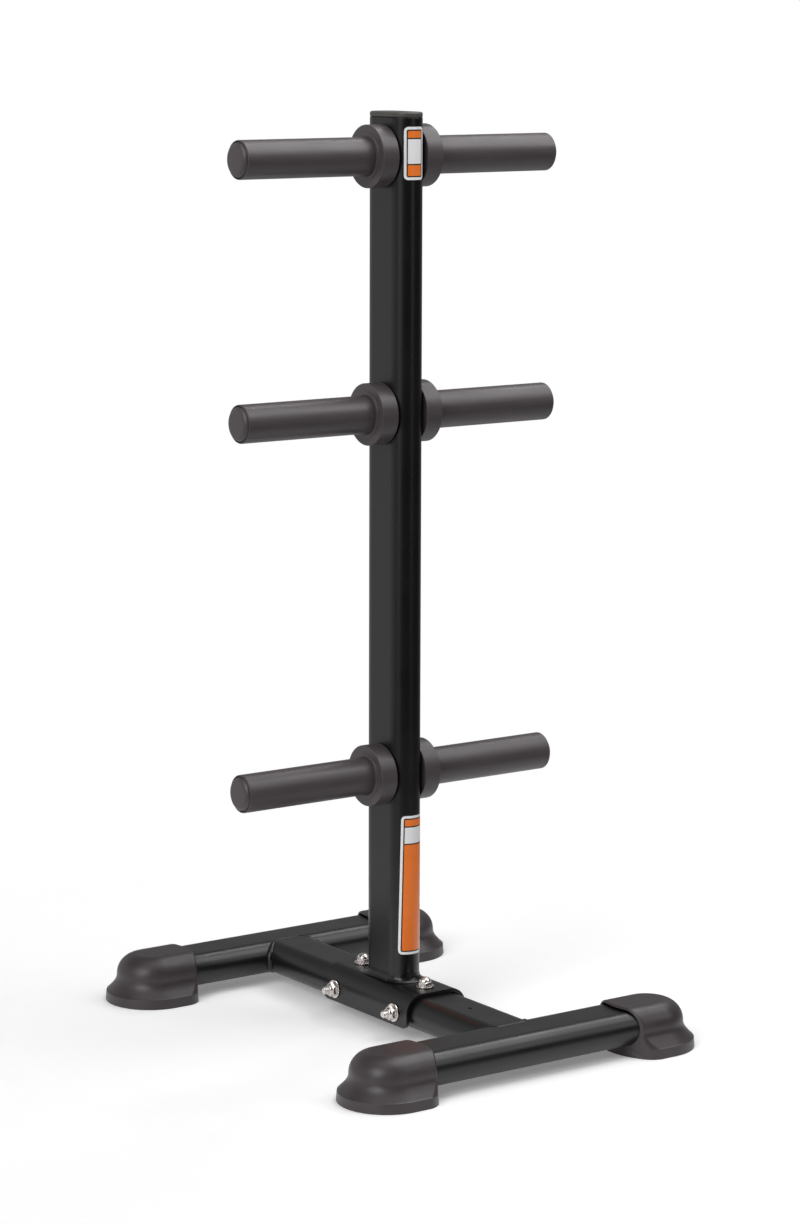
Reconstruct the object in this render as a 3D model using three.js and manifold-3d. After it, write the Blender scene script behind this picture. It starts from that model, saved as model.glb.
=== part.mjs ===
// A free-standing plate tree: an H-shaped base of flat-oval steel tube in rubber boots, an upright post
// bolted to it through a bent saddle, and three levels of pegs for weight plates on both sides.
// Lengths are in millimetres and +Z is up. The origin is on the floor under the post. The pegs and the
// cross tubes run along X, the stretcher runs along Y, and the front of the stand is at -Y.

import * as THREE from "three";
import { mergeVertices } from "three/addons/utils/BufferGeometryUtils.js";
import Module from "manifold-3d";

const wasm = await Module();
wasm.setup();

// Flat-oval tube stock, the same for the post, the stretcher and the cross tubes
const tubeWide = 84;
const tubeThick = 44;
const tubeWall = 3;

// The whole stand
const standHeight = 1191.1;
const crossTubeSpacing = 552;
const crossTubeLength = 434.4;

// Clearances
const seatGap = 0.3; // between pieces that lie against each other
const boltClearance = 0.5; // round a bolt in its hole
const cutOverrun = 10; // how far a cutting shape runs past what it cuts

// Post cap: a flange flush with the post's outside, over a hollow skirt that plugs the tube
const capThick = 6.6;
const capEdge = 2.5;
const capSkirt = 14;
const capSkirtWall = 2.5;

// Weld at the post's foot, a hollow fillet all round
const footWeldWide = 6.5;
const footWeldTall = 11;

// Saddle: a bent plate that straddles the stretcher under the post
const saddleLength = 192;
const saddlePlate = 5;
const saddleBend = 20; // inside radius of its two bends
const saddleDepth = 44.6; // from its top face down to the ends of its legs
const saddleSideGap = 0.5;
const saddleCorner = 10;

// Welds between the stretcher and the cross tubes
const beadRadius = 5;
const beadTopSink = 4.2; // how far the bead's centre lies under the flat top

// Vent hole in the stretcher's top, measured from the front cross tube's centreline
const ventDiameter = 5;
const ventPlace = 106;

// Boots: moulded rubber, each a thick sole and skirt with a round outer end, closing a cross tube's end
const bootSole = 13;
const bootWall = 5;
const bootGrip = 66.5; // how much of the cross tube is inside the boot, at its top
const bootAxisInset = 12.1; // from the cross tube's end back to the axis of the boot's round end
const noseRadius = 90; // of the arc of the boot's inner end, seen from above
const noseLean = 4; // how much further the inner end reaches at the floor than at the top
const soleEdge = 0.8;
const skirtProud = 15.2; // how far the skirt's foot stands out of the boot's body
const skirtDraft = 1;
const skirtTall = 13.3;
const ledgeWide = 1.6;
const ledgeTall = 0.7;
const flareFootShare = 0.31; // of the flare's height, up which it keeps the slope of its foot
const flareSlopeShare = 0.48; // of the flare's width, over which it keeps that slope
const flareTopShare = 0.44; // of the flare's height, down which its top stays upright
const skirtCorner = 11;
const bodyCorner = 2.5;

// Pegs: one steel horn tube per level runs through the post, and each half carries a collar, a sleeve
// and an end plug. The sleeve passes through the 50 mm hole of a weight plate.
const pegSpan = 486.7; // tip to tip
const upperPegDrop = 55.7; // from the stand's top
const middlePegDrop = 327.1; // from the upper peg
const lowerPegDrop = 471.6; // from the middle peg
const sleeveDiameter = 49;
const sleeveWall = 3.2;
const sleeveLip = 1.45; // wall that is left round the end plug
const sleeveEdge = 1.2;
const hornWall = 3;
const collarDiameter = 80;
const collarThick = 24;
const collarEdge = 1.2;
const collarLipWide = 5;
const collarLipRise = 2;
const collarLipEdge = 0.6;
const plugDome = 5; // how far the plug's face stands out of the sleeve
const plugEdge = 5; // radius of the rounding round its face
const plugCrown = 0.5; // how much higher the middle of its face is than the face's edge
const plugRim = 5.2; // from the sleeve's end down to the horn tube's end
const plugStem = 18;
const plugWall = 2.5;

// Fasteners of the saddle
const boltDiameter = 10;
const boltTip = 1;
const sideBoltSpacing = 135.6;
const boltTail = 7; // bolt that shows past its nut
const headAcross = 17;
const headTall = 6.4;
const nutHexTall = 6;
const nutCrownTall = 3;
const nutCrownFoot = 15.6; // diameter of the crown where it leaves the hexagon
const nutCrownTop = 13.4;
const washerDiameter = 24;
const washerThick = 2;
const topStudOffset = 28.5; // from the post's round face to a stud's axis
const studGrip = 5.5; // how far a stud reaches into its cap nut
const capNutAcross = 17;
const capNutHexTall = 5;
const capNutDomeDiameter = 16.4;
const capNutTall = 11;
const hexChamfer = 1.1;

// How finely round shapes are divided
const ovalSteps = 5; // per quarter of a flat oval's round side
const bendSteps = 3; // per eighth of a turn of the saddle's bends and corners
const roundSides = 20;
const boltSides = 16;
const hexSides = 6;
const beadSides = 8;
const bootEndSteps = 10;
const bootCornerSteps = 2;
const noseSteps = 4; // across half the arc of a boot's inner end
const flareSteps = 3;
const shoulderSteps = 5;
const filletSteps = 4;
const edgeSteps = 3;
const domeSteps = 4;

const quarterTurn = Math.PI / 2;
const mergeTolerance = 1e-4;

// Places that follow from the sizes
const ovalStraight = (tubeWide - tubeThick) / 2; // half the flat side of the tube stock
const ovalRadius = tubeThick / 2;
const baseHeight = bootSole + seatGap + ovalRadius; // centreline of the base tubes
const baseTop = baseHeight + ovalRadius;
const saddleTop = baseTop + seatGap + saddlePlate;
const saddleHalfWide = tubeWide / 2 + saddleSideGap + saddlePlate;
const postFoot = saddleTop + seatGap;
const capFoot = standHeight - capThick;
const postTop = capFoot - seatGap;
const upperPegHeight = standHeight - upperPegDrop;
const middlePegHeight = upperPegHeight - middlePegDrop;
const lowerPegHeight = middlePegHeight - lowerPegDrop;
const sleeveRadius = sleeveDiameter / 2;
const sleeveBore = sleeveRadius - sleeveWall;
const plugSeatRadius = sleeveRadius - sleeveLip;
const hornRadius = sleeveBore - seatGap;
const sleeveEnd = pegSpan / 2 - plugDome;
const hornEnd = sleeveEnd - plugRim - seatGap;
const collarBack = tubeThick / 2 + seatGap;
const collarFace = collarBack + collarThick;
const boltRadius = boltDiameter / 2;
const boltHoleRadius = boltRadius + boltClearance;
const stackSeat = seatGap + washerThick + seatGap; // from the saddle's face to a head or a nut

// Joining and cutting

function solidOf(geometry) {
  const bare = geometry.clone();
  bare.deleteAttribute("normal");
  bare.deleteAttribute("uv");
  const merged = mergeVertices(bare, mergeTolerance);
  const vertProperties = merged.attributes.position.array;
  const triVerts = new Uint32Array(merged.index.array);
  return new wasm.Manifold(new wasm.Mesh({ numProp: 3, vertProperties, triVerts }));
}

function geometryOf(solid) {
  const mesh = solid.getMesh();
  const geometry = new THREE.BufferGeometry();
  geometry.setAttribute("position", new THREE.BufferAttribute(mesh.vertProperties, mesh.numProp));
  geometry.setIndex(new THREE.BufferAttribute(mesh.triVerts, 1));
  geometry.computeVertexNormals();
  return geometry;
}

function joined(...geometries) {
  const solids = geometries.map(solidOf);
  return geometryOf(solids.reduce((whole, next) => whole.add(next)));
}

function cut(geometry, ...cutters) {
  return geometryOf(cutters.reduce((rest, cutter) => rest.subtract(solidOf(cutter)), solidOf(geometry)));
}

function common(first, second) {
  return geometryOf(solidOf(first).intersect(solidOf(second)));
}

// Profiles, extrusions, revolves and lofts

// The tube stock's outline, its long side along X, grown outwards or, if negative, inwards
function flatOval(grow = 0) {
  const outline = new THREE.Shape();
  outline.absarc(ovalStraight, 0, ovalRadius + grow, -quarterTurn, quarterTurn);
  outline.absarc(-ovalStraight, 0, ovalRadius + grow, quarterTurn, 3 * quarterTurn);
  return outline;
}

// A hollow section: the outline with the tube's bore through it
function tubeSection() {
  const section = flatOval();
  section.holes.push(flatOval(-tubeWall));
  return section;
}

// Centred extrusion along Y: the outline's X stays X, and its Y becomes Z
function extrudedAlongY(outline, length, curveSegments = ovalSteps) {
  const options = { depth: length, bevelEnabled: false, curveSegments };
  return new THREE.ExtrudeGeometry(outline, options).translate(0, 0, -length / 2).rotateX(quarterTurn);
}

// Centred extrusion along X: the outline's X becomes Y, and its Y becomes Z
function extrudedAlongX(outline, length, curveSegments = ovalSteps) {
  return extrudedAlongY(outline, length, curveSegments).rotateZ(quarterTurn);
}

// Revolve about Z of a closed profile of [radius, height] points, taken anticlockwise from its foot
function revolved(profile, sides = roundSides) {
  const points = profile.map(([radius, height]) => new THREE.Vector2(radius, height));
  return new THREE.LatheGeometry([...points, points[0]], sides).rotateX(quarterTurn);
}

// Revolve about Z of an open profile that starts on the axis at its foot and ends on it at its top
function revolvedSolid(profile, sides = roundSides) {
  const points = profile.map(([radius, height]) => new THREE.Vector2(radius, height));
  return new THREE.LatheGeometry(points, sides).rotateX(quarterTurn);
}

function rod(radius, foot, top, sides) {
  const length = top - foot;
  const cylinder = new THREE.CylinderGeometry(radius, radius, length, sides);
  return cylinder.rotateX(quarterTurn).translate(0, 0, foot + length / 2);
}

function ring(innerRadius, outerRadius, foot, top, sides) {
  const profile = [
    [innerRadius, foot],
    [outerRadius, foot],
    [outerRadius, top],
    [innerRadius, top],
  ];
  return revolved(profile, sides);
}

// Skin over a list of rings with equally many points. A stack of rings is capped at both ends, and a
// loop of rings closes on itself.
function skinned(rings, isLoop = false) {
  const count = rings[0].length;
  const index = [];
  const bands = isLoop ? rings.length : rings.length - 1;
  for (let band = 0; band < bands; band += 1) {
    const low = band * count;
    const high = ((band + 1) % rings.length) * count;
    for (let i = 0; i < count; i += 1) {
      const next = (i + 1) % count;
      index.push(low + i, low + next, high + next);
      index.push(low + i, high + next, high + i);
    }
  }
  const last = (rings.length - 1) * count;
  for (let i = 1; i < count - 1 && !isLoop; i += 1) {
    index.push(0, i + 1, i);
    index.push(last, last + i, last + i + 1);
  }
  const geometry = new THREE.BufferGeometry();
  geometry.setAttribute("position", new THREE.Float32BufferAttribute(
    rings.flat().flatMap((point) => [point.x, point.y, point.z]), 3));
  geometry.setIndex(index);
  return geometry;
}

// The post's outline as a ring at one height, its long side along Y
function postRing(grow, height) {
  const points = flatOval(grow).getPoints(ovalSteps);
  return points.map((point) => new THREE.Vector3(-point.y, point.x, height));
}

// Frame

function postTube() {
  const rings = [];
  for (let step = 0; step <= filletSteps; step += 1) {
    const angle = (quarterTurn * step) / filletSteps;
    const grow = footWeldWide * (1 - Math.sin(angle));
    rings.push(postRing(grow, postFoot + footWeldTall * (1 - Math.cos(angle))));
  }
  rings.push(postRing(0, postTop));
  const bore = skinned([
    postRing(-tubeWall, postFoot - cutOverrun),
    postRing(-tubeWall, postTop + cutOverrun),
  ]);
  const pegHoles = [lowerPegHeight, middlePegHeight, upperPegHeight].map((height) => {
    const half = ovalRadius + cutOverrun;
    return rod(sleeveBore, -half, half, roundSides).rotateY(quarterTurn).translate(0, 0, height);
  });
  return cut(skinned(rings), bore, ...pegHoles);
}

function postCap() {
  const rings = [postRing(0, capFoot)];
  for (let step = 0; step <= edgeSteps; step += 1) {
    const angle = (quarterTurn * step) / edgeSteps;
    const inset = capEdge * (1 - Math.cos(angle));
    rings.push(postRing(-inset, standHeight - capEdge * (1 - Math.sin(angle))));
  }
  const skirtGrow = -tubeWall - seatGap;
  const skirt = skinned([
    postRing(skirtGrow, capFoot - capSkirt),
    postRing(skirtGrow, standHeight - capEdge),
  ]);
  const hollow = skinned([
    postRing(skirtGrow - capSkirtWall, capFoot - capSkirt - cutOverrun),
    postRing(skirtGrow - capSkirtWall, capFoot),
  ]);
  return cut(joined(skinned(rings), skirt), hollow);
}

// The weld round the stretcher's end at +Y. It follows the line where the surfaces of the two tubes
// meet, a mitre on their round sides, and it lies lower on the flats.
function endWeld() {
  const flatEnd = crossTubeSpacing / 2 - ovalStraight;
  const centres = flatOval().getPoints(ovalSteps).map(({ x, y }) => {
    const side = Math.max(Math.abs(x) - ovalStraight, 0);
    return new THREE.Vector3(x, flatEnd - side, y);
  });
  const rings = centres.map((centre, i) => {
    const before = centres.at(i - 1);
    const after = centres[(i + 1) % centres.length];
    const arriving = centre.clone().sub(before).normalize();
    const tangent = after.clone().sub(centre).normalize().add(arriving).normalize();
    const side = (flatEnd - centre.y) / ovalRadius;
    const rise = centre.z / ovalRadius;
    const outwards = new THREE.Vector3(Math.sign(centre.x) * side, -side, 2 * rise).normalize();
    const across = new THREE.Vector3().crossVectors(tangent, outwards);
    const middle = centre.clone().addScaledVector(outwards, -beadTopSink * rise * rise);
    return Array.from({ length: beadSides }, (_, k) => {
      const angle = (4 * quarterTurn * k) / beadSides;
      return middle.clone()
        .addScaledVector(outwards, beadRadius * Math.cos(angle))
        .addScaledVector(across, beadRadius * Math.sin(angle));
    });
  });
  return skinned(rings, true);
}

function stretcherTube() {
  const length = crossTubeSpacing;
  const back = endWeld();
  const front = back.clone().rotateZ(2 * quarterTurn);
  const crossTubes = [-1, 1].map((side) =>
    extrudedAlongX(flatOval(seatGap), 2 * tubeWide).translate(0, (side * crossTubeSpacing) / 2, 0));
  const bore = extrudedAlongY(flatOval(-tubeWall), length + cutOverrun);
  const boltHoles = [-1, 1].map((side) => {
    const half = tubeWide / 2 + cutOverrun;
    const hole = rod(boltHoleRadius, -half, half, boltSides).rotateY(quarterTurn);
    return hole.translate(0, (side * sideBoltSpacing) / 2, 0);
  });
  const vent = rod(ventDiameter / 2, 0, ovalRadius + cutOverrun, boltSides);
  vent.translate(0, ventPlace - crossTubeSpacing / 2, 0);
  const body = joined(extrudedAlongY(flatOval(), length), back, front);
  return cut(body, ...crossTubes, bore, ...boltHoles, vent);
}

// Saddle

function saddleSection() {
  const inner = saddleHalfWide - saddlePlate;
  const legEnd = saddleTop - saddleDepth;
  const bendX = inner - saddleBend;
  const bendZ = saddleTop - saddlePlate - saddleBend;
  const section = new THREE.Shape();
  section.moveTo(saddleHalfWide, legEnd);
  section.lineTo(saddleHalfWide, bendZ);
  section.absarc(bendX, bendZ, saddleBend + saddlePlate, 0, quarterTurn);
  section.absarc(-bendX, bendZ, saddleBend + saddlePlate, quarterTurn, 2 * quarterTurn);
  section.lineTo(-saddleHalfWide, legEnd);
  section.lineTo(-inner, legEnd);
  section.absarc(-bendX, bendZ, saddleBend, 2 * quarterTurn, quarterTurn, true);
  section.absarc(bendX, bendZ, saddleBend, quarterTurn, 0, true);
  section.lineTo(inner, legEnd);
  return section;
}

// The saddle seen from its side, with its legs' lower corners rounded
function saddleSide() {
  const half = saddleLength / 2;
  const legEnd = saddleTop - saddleDepth;
  const side = new THREE.Shape();
  side.moveTo(-half, saddleTop + cutOverrun);
  side.lineTo(-half, legEnd + saddleCorner);
  side.absarc(saddleCorner - half, legEnd + saddleCorner, saddleCorner, 2 * quarterTurn, 3 * quarterTurn);
  side.absarc(half - saddleCorner, legEnd + saddleCorner, saddleCorner, 3 * quarterTurn, 4 * quarterTurn);
  side.lineTo(half, saddleTop + cutOverrun);
  return side;
}

function saddleBracket() {
  const bent = extrudedAlongY(saddleSection(), saddleLength + cutOverrun, bendSteps);
  const side = extrudedAlongX(saddleSide(), 2 * saddleHalfWide + cutOverrun, bendSteps);
  const trimmed = common(bent, side);
  const half = saddleHalfWide + cutOverrun;
  const holes = [-1, 1].flatMap((side) => [
    rod(boltHoleRadius, -half, half, boltSides)
      .rotateY(quarterTurn)
      .translate(0, (side * sideBoltSpacing) / 2, baseHeight),
    rod(boltHoleRadius, baseHeight, saddleTop + cutOverrun, boltSides)
      .translate(0, side * (tubeWide / 2 + topStudOffset), 0),
  ]);
  return cut(trimmed, ...holes);
}

// Boots

// The half width of the boot at each height, from the sole up over the skirt, the ledge and the flare to
// the round shoulder that follows the tube
function bootProfile() {
  const body = tubeWide / 2 + bootWall;
  const foot = body + skirtProud;
  const flareFoot = skirtTall + ledgeTall;
  const flareWide = skirtProud - skirtDraft - ledgeWide;
  const flareTall = baseHeight - flareFoot;
  const flare = new THREE.CubicBezierCurve(
    new THREE.Vector2(body + flareWide, flareFoot),
    new THREE.Vector2(body + flareWide * (1 - flareSlopeShare), flareFoot + flareTall * flareFootShare),
    new THREE.Vector2(body, baseHeight - flareTall * flareTopShare),
    new THREE.Vector2(body, baseHeight),
  );
  const profile = [[foot - soleEdge, 0], [foot, soleEdge], [foot - skirtDraft, skirtTall]];
  for (let step = 0; step < flareSteps; step += 1) {
    const { x, y } = flare.getPoint(step / flareSteps);
    profile.push([x, y]);
  }
  for (let step = 0; step <= shoulderSteps; step += 1) {
    const angle = (quarterTurn * step) / shoulderSteps;
    const radius = ovalRadius + bootWall;
    profile.push([ovalStraight + radius * Math.cos(angle), baseHeight + radius * Math.sin(angle)]);
  }
  return profile;
}

// How far the boot's inner end lies from the middle of the cross tube, at a place across it and a height
function noseReach(across, height) {
  const bulge = noseRadius - Math.sqrt(noseRadius * noseRadius - across * across);
  const bootTop = baseTop + bootWall;
  return crossTubeLength / 2 - bootGrip + bulge - noseLean * (1 - height / bootTop);
}

// Half of the boot's inner end at one level, from its middle out to one side: a shallow arc and then a
// rounded corner that is larger on the skirt than on the body
function noseHalf([halfWide, height], side) {
  const body = tubeWide / 2 + bootWall;
  const skirtShare = Math.max((halfWide - body) / skirtProud, 0);
  const corner = bodyCorner + (skirtCorner - bodyCorner) * skirtShare;
  const points = [];
  for (let step = 0; step < noseSteps; step += 1) {
    points.push([(step / noseSteps) * (halfWide - corner), 0]);
  }
  for (let step = 0; step <= bootCornerSteps; step += 1) {
    const angle = (quarterTurn * step) / bootCornerSteps;
    points.push([halfWide - corner * (1 - Math.sin(angle)), corner * (1 - Math.cos(angle))]);
  }
  return points.map(([across, setBack]) =>
    new THREE.Vector3(noseReach(across, height) + setBack, side * across, height));
}

// One level of the boot, round its arched inner end and its half-round outer end
function bootRing([halfWide, height]) {
  const axis = crossTubeLength / 2 - bootAxisInset;
  const outerEnd = Array.from({ length: bootEndSteps + 1 }, (_, step) => {
    const angle = quarterTurn * ((2 * step) / bootEndSteps - 1);
    return new THREE.Vector3(axis + halfWide * Math.cos(angle), halfWide * Math.sin(angle), height);
  });
  const [, ...left] = noseHalf([halfWide, height], 1);
  return [...noseHalf([halfWide, height], -1), ...outerEnd, ...left.reverse()];
}

function boot() {
  const socketLength = bootGrip + noseLean + seatGap + cutOverrun;
  const socketMiddle = crossTubeLength / 2 + seatGap - socketLength / 2;
  const socket = extrudedAlongX(flatOval(seatGap), socketLength).translate(socketMiddle, 0, baseHeight);
  return cut(skinned(bootProfile().map(bootRing)), socket);
}

// Pegs, built along Z from the post's centre outwards

function hornTube() {
  return ring(hornRadius - hornWall, hornRadius, -hornEnd, hornEnd, roundSides);
}

function pegCollar() {
  const radius = collarDiameter / 2;
  const lipInner = sleeveRadius + seatGap;
  const lipOuter = lipInner + collarLipWide;
  const lipTop = collarFace + collarLipRise;
  return revolved([
    [sleeveBore, collarBack],
    [radius - collarEdge, collarBack],
    [radius, collarBack + collarEdge],
    [radius, collarFace - collarEdge],
    [radius - collarEdge, collarFace],
    [lipOuter, collarFace],
    [lipOuter, lipTop - collarLipEdge],
    [lipOuter - collarLipEdge, lipTop],
    [lipInner, lipTop],
    [lipInner, collarFace],
    [sleeveBore, collarFace],
  ]);
}

function pegSleeve() {
  return revolved([
    [sleeveBore, collarFace + seatGap],
    [sleeveRadius, collarFace + seatGap],
    [sleeveRadius, sleeveEnd - sleeveEdge],
    [sleeveRadius - sleeveEdge, sleeveEnd],
    [plugSeatRadius, sleeveEnd],
    [plugSeatRadius, hornEnd],
    [sleeveBore, hornEnd],
  ]);
}

// A cup whose stem grips inside the horn tube, whose rim fills the sleeve's end and whose face is round
// at its edge and slightly crowned
function endPlug() {
  const rimRadius = plugSeatRadius - seatGap;
  const stemRadius = hornRadius - hornWall - seatGap;
  const rimFoot = hornEnd + seatGap;
  const profile = [
    [0, rimFoot],
    [stemRadius - plugWall, rimFoot],
    [stemRadius - plugWall, rimFoot - plugStem],
    [stemRadius, rimFoot - plugStem],
    [stemRadius, rimFoot],
    [rimRadius, rimFoot],
  ];
  const faceEdge = sleeveEnd + plugDome - plugCrown;
  for (let step = 0; step <= edgeSteps; step += 1) {
    const angle = (quarterTurn * step) / edgeSteps;
    const inset = plugEdge * (1 - Math.cos(angle));
    profile.push([rimRadius - inset, faceEdge - plugEdge * (1 - Math.sin(angle))]);
  }
  profile.push([0, sleeveEnd + plugDome]);
  return revolvedSolid(profile);
}

// Fasteners, built along Z from the face that they bear on

// A hexagonal block whose corners are turned off at its top
function hexBlock(across, height) {
  const corner = across / 2 / Math.cos(quarterTurn / 3);
  const turned = revolvedSolid([
    [0, -cutOverrun],
    [corner + hexChamfer, -cutOverrun],
    [corner + hexChamfer, height - 2 * hexChamfer],
    [across / 2 - hexChamfer / 2, height],
    [0, height],
  ], boltSides);
  return common(rod(corner, 0, height, hexSides), turned);
}

function washer() {
  return ring(boltHoleRadius, washerDiameter / 2, 0, washerThick, boltSides);
}

// A bar with its free end chamfered
function shank(foot, top) {
  return revolvedSolid([
    [0, foot],
    [boltRadius, foot],
    [boltRadius, top - boltTip],
    [boltRadius - boltTip, top],
    [0, top],
  ], boltSides);
}

// The head lies under the bearing face, and the shank reaches through the saddle and past the nut
function sideBolt() {
  const nutTall = nutHexTall + nutCrownTall;
  const length = 2 * (saddleHalfWide + stackSeat) + nutTall + boltTail;
  const head = hexBlock(headAcross, headTall).rotateX(2 * quarterTurn);
  return joined(head, shank(-headTall / 2, length));
}

function lockNut() {
  const top = nutHexTall + nutCrownTall;
  const crown = revolvedSolid([
    [0, nutHexTall / 2],
    [nutCrownFoot / 2, nutHexTall / 2],
    [nutCrownFoot / 2, nutHexTall],
    [nutCrownTop / 2, top],
    [0, top],
  ], boltSides);
  const body = joined(hexBlock(headAcross, nutHexTall), crown);
  return cut(body, rod(boltHoleRadius, -cutOverrun, top + cutOverrun, boltSides));
}

function capNut() {
  const domeRadius = capNutDomeDiameter / 2;
  const profile = [[0, capNutHexTall / 2], [domeRadius, capNutHexTall / 2]];
  for (let step = 0; step <= domeSteps; step += 1) {
    const angle = (quarterTurn * step) / domeSteps;
    const height = capNutHexTall + (capNutTall - capNutHexTall) * Math.sin(angle);
    profile.push([step === domeSteps ? 0 : domeRadius * Math.cos(angle), height]);
  }
  const body = joined(hexBlock(capNutAcross, capNutHexTall), revolvedSolid(profile, boltSides));
  return cut(body, rod(boltHoleRadius, -cutOverrun, studGrip + boltClearance, boltSides));
}

// Materials

const paintedSteel = new THREE.MeshStandardMaterial({ color: 0x2a2b2d, roughness: 0.42, metalness: 0.2 });
const bareSteel = new THREE.MeshStandardMaterial({ color: 0x8e9194, roughness: 0.5, metalness: 0.9 });
const mouldedPlastic = new THREE.MeshStandardMaterial({ color: 0x3a3635, roughness: 0.62, metalness: 0 });
const mouldedRubber = new THREE.MeshStandardMaterial({ color: 0x2e2a29, roughness: 0.75, metalness: 0 });
const zincPlate = new THREE.MeshStandardMaterial({ color: 0xc9cbce, roughness: 0.3, metalness: 0.95 });

function piece(name, geometry, material, x = 0, y = 0, z = 0) {
  const mesh = new THREE.Mesh(geometry, material);
  mesh.name = name;
  mesh.position.set(x, y, z);
  return mesh;
}

function group(...children) {
  const made = new THREE.Group();
  made.add(...children);
  return made;
}

// Assembly

const ends = [["front", -1], ["back", 1]];
const sides = [["left", -1], ["right", 1]];

function base() {
  const bootShape = boot();
  const crossShape = extrudedAlongX(tubeSection(), crossTubeLength);
  const parts = ends.map(([end, endSign]) => {
    const boots = sides.map(([side, sideSign]) => {
      const made = piece(`${end}_${side}_boot`, bootShape, mouldedRubber);
      made.rotation.z = sideSign > 0 ? 0 : 2 * quarterTurn;
      return made;
    });
    const tube = piece(`${end}_cross_tube`, crossShape, paintedSteel, 0, 0, baseHeight);
    const placed = group(tube, ...boots);
    placed.position.y = (endSign * crossTubeSpacing) / 2;
    return placed;
  });
  return group(piece("stretcher_tube", stretcherTube(), paintedSteel, 0, 0, baseHeight), ...parts);
}

function sideFasteners() {
  const boltShape = sideBolt();
  const nutShape = lockNut();
  const washerShape = washer();
  return group(...ends.map(([end, endSign]) => {
    const seat = saddleHalfWide + seatGap;
    const bearing = saddleHalfWide + stackSeat;
    const bolt = piece(`${end}_side_bolt`, boltShape, zincPlate, bearing);
    const nut = piece(`${end}_side_nut`, nutShape, zincPlate, -bearing);
    const leftWasher = piece(`${end}_left_washer`, washerShape, zincPlate, -seat);
    const rightWasher = piece(`${end}_right_washer`, washerShape, zincPlate, seat);
    for (const leftward of [bolt, nut, leftWasher]) leftward.rotation.y = -quarterTurn;
    rightWasher.rotation.y = quarterTurn;
    const placed = group(bolt, nut, leftWasher, rightWasher);
    placed.position.set(0, (endSign * sideBoltSpacing) / 2, baseHeight);
    return placed;
  }));
}

function topFasteners() {
  const studShape = shank(baseTop + seatGap, saddleTop + stackSeat + studGrip);
  const nutShape = capNut();
  const washerShape = washer();
  return group(...ends.map(([end, endSign]) => {
    const placed = group(
      piece(`${end}_top_stud`, studShape, zincPlate),
      piece(`${end}_top_washer`, washerShape, zincPlate, 0, 0, saddleTop + seatGap),
      piece(`${end}_top_cap_nut`, nutShape, zincPlate, 0, 0, saddleTop + stackSeat),
    );
    placed.position.y = endSign * (tubeWide / 2 + topStudOffset);
    return placed;
  }));
}

function pegs() {
  const hornShape = hornTube();
  const collarShape = pegCollar();
  const sleeveShape = pegSleeve();
  const plugShape = endPlug();
  const levels = [["lower", lowerPegHeight], ["middle", middlePegHeight], ["upper", upperPegHeight]];
  return group(...levels.map(([level, height]) => {
    const halves = sides.map(([side, sideSign]) => {
      const half = group(
        piece(`${level}_${side}_collar`, collarShape, mouldedPlastic),
        piece(`${level}_${side}_sleeve`, sleeveShape, mouldedPlastic),
        piece(`${level}_${side}_end_plug`, plugShape, mouldedPlastic),
      );
      half.rotation.y = sideSign * quarterTurn;
      return half;
    });
    const horn = piece(`${level}_horn_tube`, hornShape, bareSteel);
    horn.rotation.y = quarterTurn;
    const placed = group(horn, ...halves);
    placed.position.z = height;
    return placed;
  }));
}

const plateTree = group(
  base(),
  piece("saddle_bracket", saddleBracket(), paintedSteel),
  piece("post_tube", postTube(), paintedSteel),
  piece("post_cap", postCap(), mouldedPlastic),
  sideFasteners(),
  topFasteners(),
  pegs(),
);
plateTree.name = "plate_tree";

export default plateTree;
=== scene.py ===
# The looks of a free-standing plate tree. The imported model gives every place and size, and the pieces made
# here stand for its solids with true rounds, softened edges, welds, threads and real finishes.
# Lengths are in millimetres until a piece is finished, and +Z is up. The front of the stand is at -Y.

import math

import bmesh
import bpy
from mathutils import Matrix, Vector, noise


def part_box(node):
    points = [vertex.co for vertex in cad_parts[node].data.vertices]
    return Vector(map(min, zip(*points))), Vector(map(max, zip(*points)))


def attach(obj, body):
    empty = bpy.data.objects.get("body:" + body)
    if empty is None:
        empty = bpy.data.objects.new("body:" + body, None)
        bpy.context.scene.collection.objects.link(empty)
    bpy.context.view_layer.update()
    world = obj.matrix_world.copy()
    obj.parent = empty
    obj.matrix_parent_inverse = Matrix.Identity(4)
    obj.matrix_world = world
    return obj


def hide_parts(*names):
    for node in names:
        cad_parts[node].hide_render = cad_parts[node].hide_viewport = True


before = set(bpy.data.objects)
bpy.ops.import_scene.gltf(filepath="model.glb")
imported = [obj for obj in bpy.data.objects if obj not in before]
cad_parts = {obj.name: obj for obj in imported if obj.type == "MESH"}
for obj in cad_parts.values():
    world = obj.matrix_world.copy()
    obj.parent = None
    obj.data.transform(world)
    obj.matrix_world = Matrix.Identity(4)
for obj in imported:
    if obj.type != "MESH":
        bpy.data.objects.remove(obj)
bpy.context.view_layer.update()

METRE = 1000  # millimetres

# Camera, fitted to the edges of the tubes and pegs in the photograph
camera_azimuth = -0.616012  # radians, about the post
camera_pitch = 0.170659  # radians, looking down
camera_roll = 0.003192  # radians
camera_distance = 4626.53
camera_aim_height = 547.53
camera_aim_side = 6.757
camera_lens = 104.902
camera_sensor = 36  # along the picture's long side
camera_near = 0.1  # metres
camera_far = 500  # metres

# Clearances and cuts
seat_gap = 0.3  # between pieces that lie against each other
cut_overrun = 5  # how far a cutting shape runs past what it cuts
hidden_edge = 0.4  # rounding of ends that other pieces cover

# Flat-oval tube stock
tube_wide = 84
tube_thick = 44
tube_wall = 3
cross_tube_spacing = 552

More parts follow.
